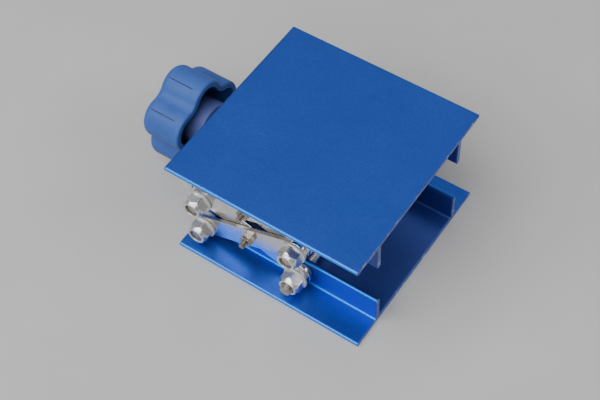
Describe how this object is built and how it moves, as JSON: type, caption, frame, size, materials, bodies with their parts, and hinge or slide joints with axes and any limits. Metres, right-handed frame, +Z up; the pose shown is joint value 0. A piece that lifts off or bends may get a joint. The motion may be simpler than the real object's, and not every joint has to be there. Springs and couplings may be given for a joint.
{
  "type": "laboratory scissor jack",
  "caption": "Square-plate laboratory scissor jack: channel plates joined by crossed arms and raised by a lead screw with a lobed knob.",
  "frame": {"origin": "centre of the base plate's underside", "axes": "+X along the lead screw, away from the knob; +Z up, out of the top plate"},
  "size_m": [0.1395, 0.1, 0.0607],
  "materials": {
    "blue_anodised": "fine matt etched, clear blue anodised",
    "polished_steel": "polished stainless strip",
    "zinc_plate": "bright zinc plated",
    "steel": "turned bright steel",
    "blue_plastic": "moulded, finely grained",
    "nylon": "natural nylon",
    "brass": "turned"
  },
  "bodies": {
    "base": {"base_plate": "blue_anodised", "base_fixed_rod": "steel", "base_fixed_spacers": "zinc_plate", "base_fixed_washers": "zinc_plate", "base_fixed_nuts": "zinc_plate", "base_fixed_nut_inserts": "nylon"},
    "lower_inner_arms": {"lower_inner_arm_near": "polished_steel", "lower_inner_arm_far": "polished_steel", "lower_centre_bolts": "steel", "lower_centre_washers": "zinc_plate", "lower_centre_nuts": "zinc_plate"},
    "lower_outer_arms": {"lower_outer_arm_near": "polished_steel", "lower_outer_arm_far": "polished_steel", "base_slide_rod": "steel", "base_slide_spacers": "zinc_plate", "base_slide_washers": "zinc_plate", "base_slide_nuts": "zinc_plate", "base_slide_nut_inserts": "nylon"},
    "bearing_trunnion": {"bearing_trunnion": "steel", "bearing_trunnion_washers": "zinc_plate", "bearing_trunnion_nuts": "zinc_plate", "bearing_trunnion_nut_inserts": "nylon"},
    "threaded_trunnion": {"threaded_trunnion": "steel", "threaded_trunnion_washers": "zinc_plate", "threaded_trunnion_nuts": "zinc_plate", "threaded_trunnion_nut_inserts": "nylon"},
    "upper_outer_arms": {"upper_outer_arm_near": "polished_steel", "upper_outer_arm_far": "polished_steel"},
    "upper_inner_arms": {"upper_inner_arm_near": "polished_steel", "upper_inner_arm_far": "polished_steel", "upper_centre_bolts": "steel", "upper_centre_washers": "zinc_plate", "upper_centre_nuts": "zinc_plate", "top_slide_rod": "steel", "top_slide_spacers": "zinc_plate", "top_slide_washers": "zinc_plate", "top_slide_spring_washers": "zinc_plate", "top_slide_nuts": "zinc_plate", "top_slide_nut_inserts": "nylon"},
    "top_platform": {"top_plate": "blue_anodised", "top_fixed_rod": "steel", "top_fixed_spacers": "zinc_plate", "top_fixed_washers": "zinc_plate", "top_fixed_nuts": "zinc_plate"},
    "lead_screw": {"lead_screw": "steel", "screw_thrust_washers": "zinc_plate", "screw_retaining_clip": "zinc_plate", "knob": "blue_plastic", "knob_insert": "brass"}
  },
  "joints": [
    {"name": "fold", "type": "hinge", "parent": "base", "child": "lower_inner_arms", "pos_m": [0.01, 0, 0.0098], "axis": [0, 1, 0], "range_deg": [-4.2, 42.91]},
    {"name": "lower_cross_pivot", "type": "hinge", "parent": "lower_inner_arms", "child": "lower_outer_arms", "pos_m": [-0.016, 0, 0.02007], "axis": [0, 1, 0], "range_deg": [-85.81, 8.39]},
    {"name": "bearing_trunnion_pivot", "type": "hinge", "parent": "lower_inner_arms", "child": "bearing_trunnion", "pos_m": [-0.042, 0, 0.03035], "axis": [0, 1, 0], "range_deg": [-42.91, 4.2]},
    {"name": "threaded_trunnion_pivot", "type": "hinge", "parent": "lower_outer_arms", "child": "threaded_trunnion", "pos_m": [0.01, 0, 0.03035], "axis": [0, 1, 0], "range_deg": [-4.2, 42.91]},
    {"name": "upper_outer_arm_pivot", "type": "hinge", "parent": "lower_inner_arms", "child": "upper_outer_arms", "pos_m": [-0.042, 0, 0.03035], "axis": [0, 1, 0], "range_deg": [-85.81, 8.39]},
    {"name": "upper_cross_pivot", "type": "hinge", "parent": "upper_outer_arms", "child": "upper_inner_arms", "pos_m": [-0.016, 0, 0.04063], "axis": [0, 1, 0], "range_deg": [-8.39, 85.81]},
    {"name": "top_pivot", "type": "hinge", "parent": "upper_outer_arms", "child": "top_platform", "pos_m": [0.01, 0, 0.0509], "axis": [0, 1, 0], "range_deg": [-4.2, 42.91]},
    {"name": "knob_spin", "type": "hinge", "parent": "bearing_trunnion", "child": "lead_screw", "pos_m": [-0.042, 0, 0.02835], "axis": [1, 0, 0], "range_deg": [-937, 9596]}
  ],
  "couplings": [
    {"joint": "fold", "follows": "knob_spin", "ratio": 0.0044705},
    {"joint": "lower_cross_pivot", "follows": "knob_spin", "ratio": -0.008941},
    {"joint": "bearing_trunnion_pivot", "follows": "knob_spin", "ratio": -0.0044705},
    {"joint": "threaded_trunnion_pivot", "follows": "knob_spin", "ratio": 0.0044705},
    {"joint": "upper_outer_arm_pivot", "follows": "knob_spin", "ratio": -0.008941},
    {"joint": "upper_cross_pivot", "follows": "knob_spin", "ratio": 0.008941},
    {"joint": "top_pivot", "follows": "knob_spin", "ratio": 0.0044705}
  ]
}
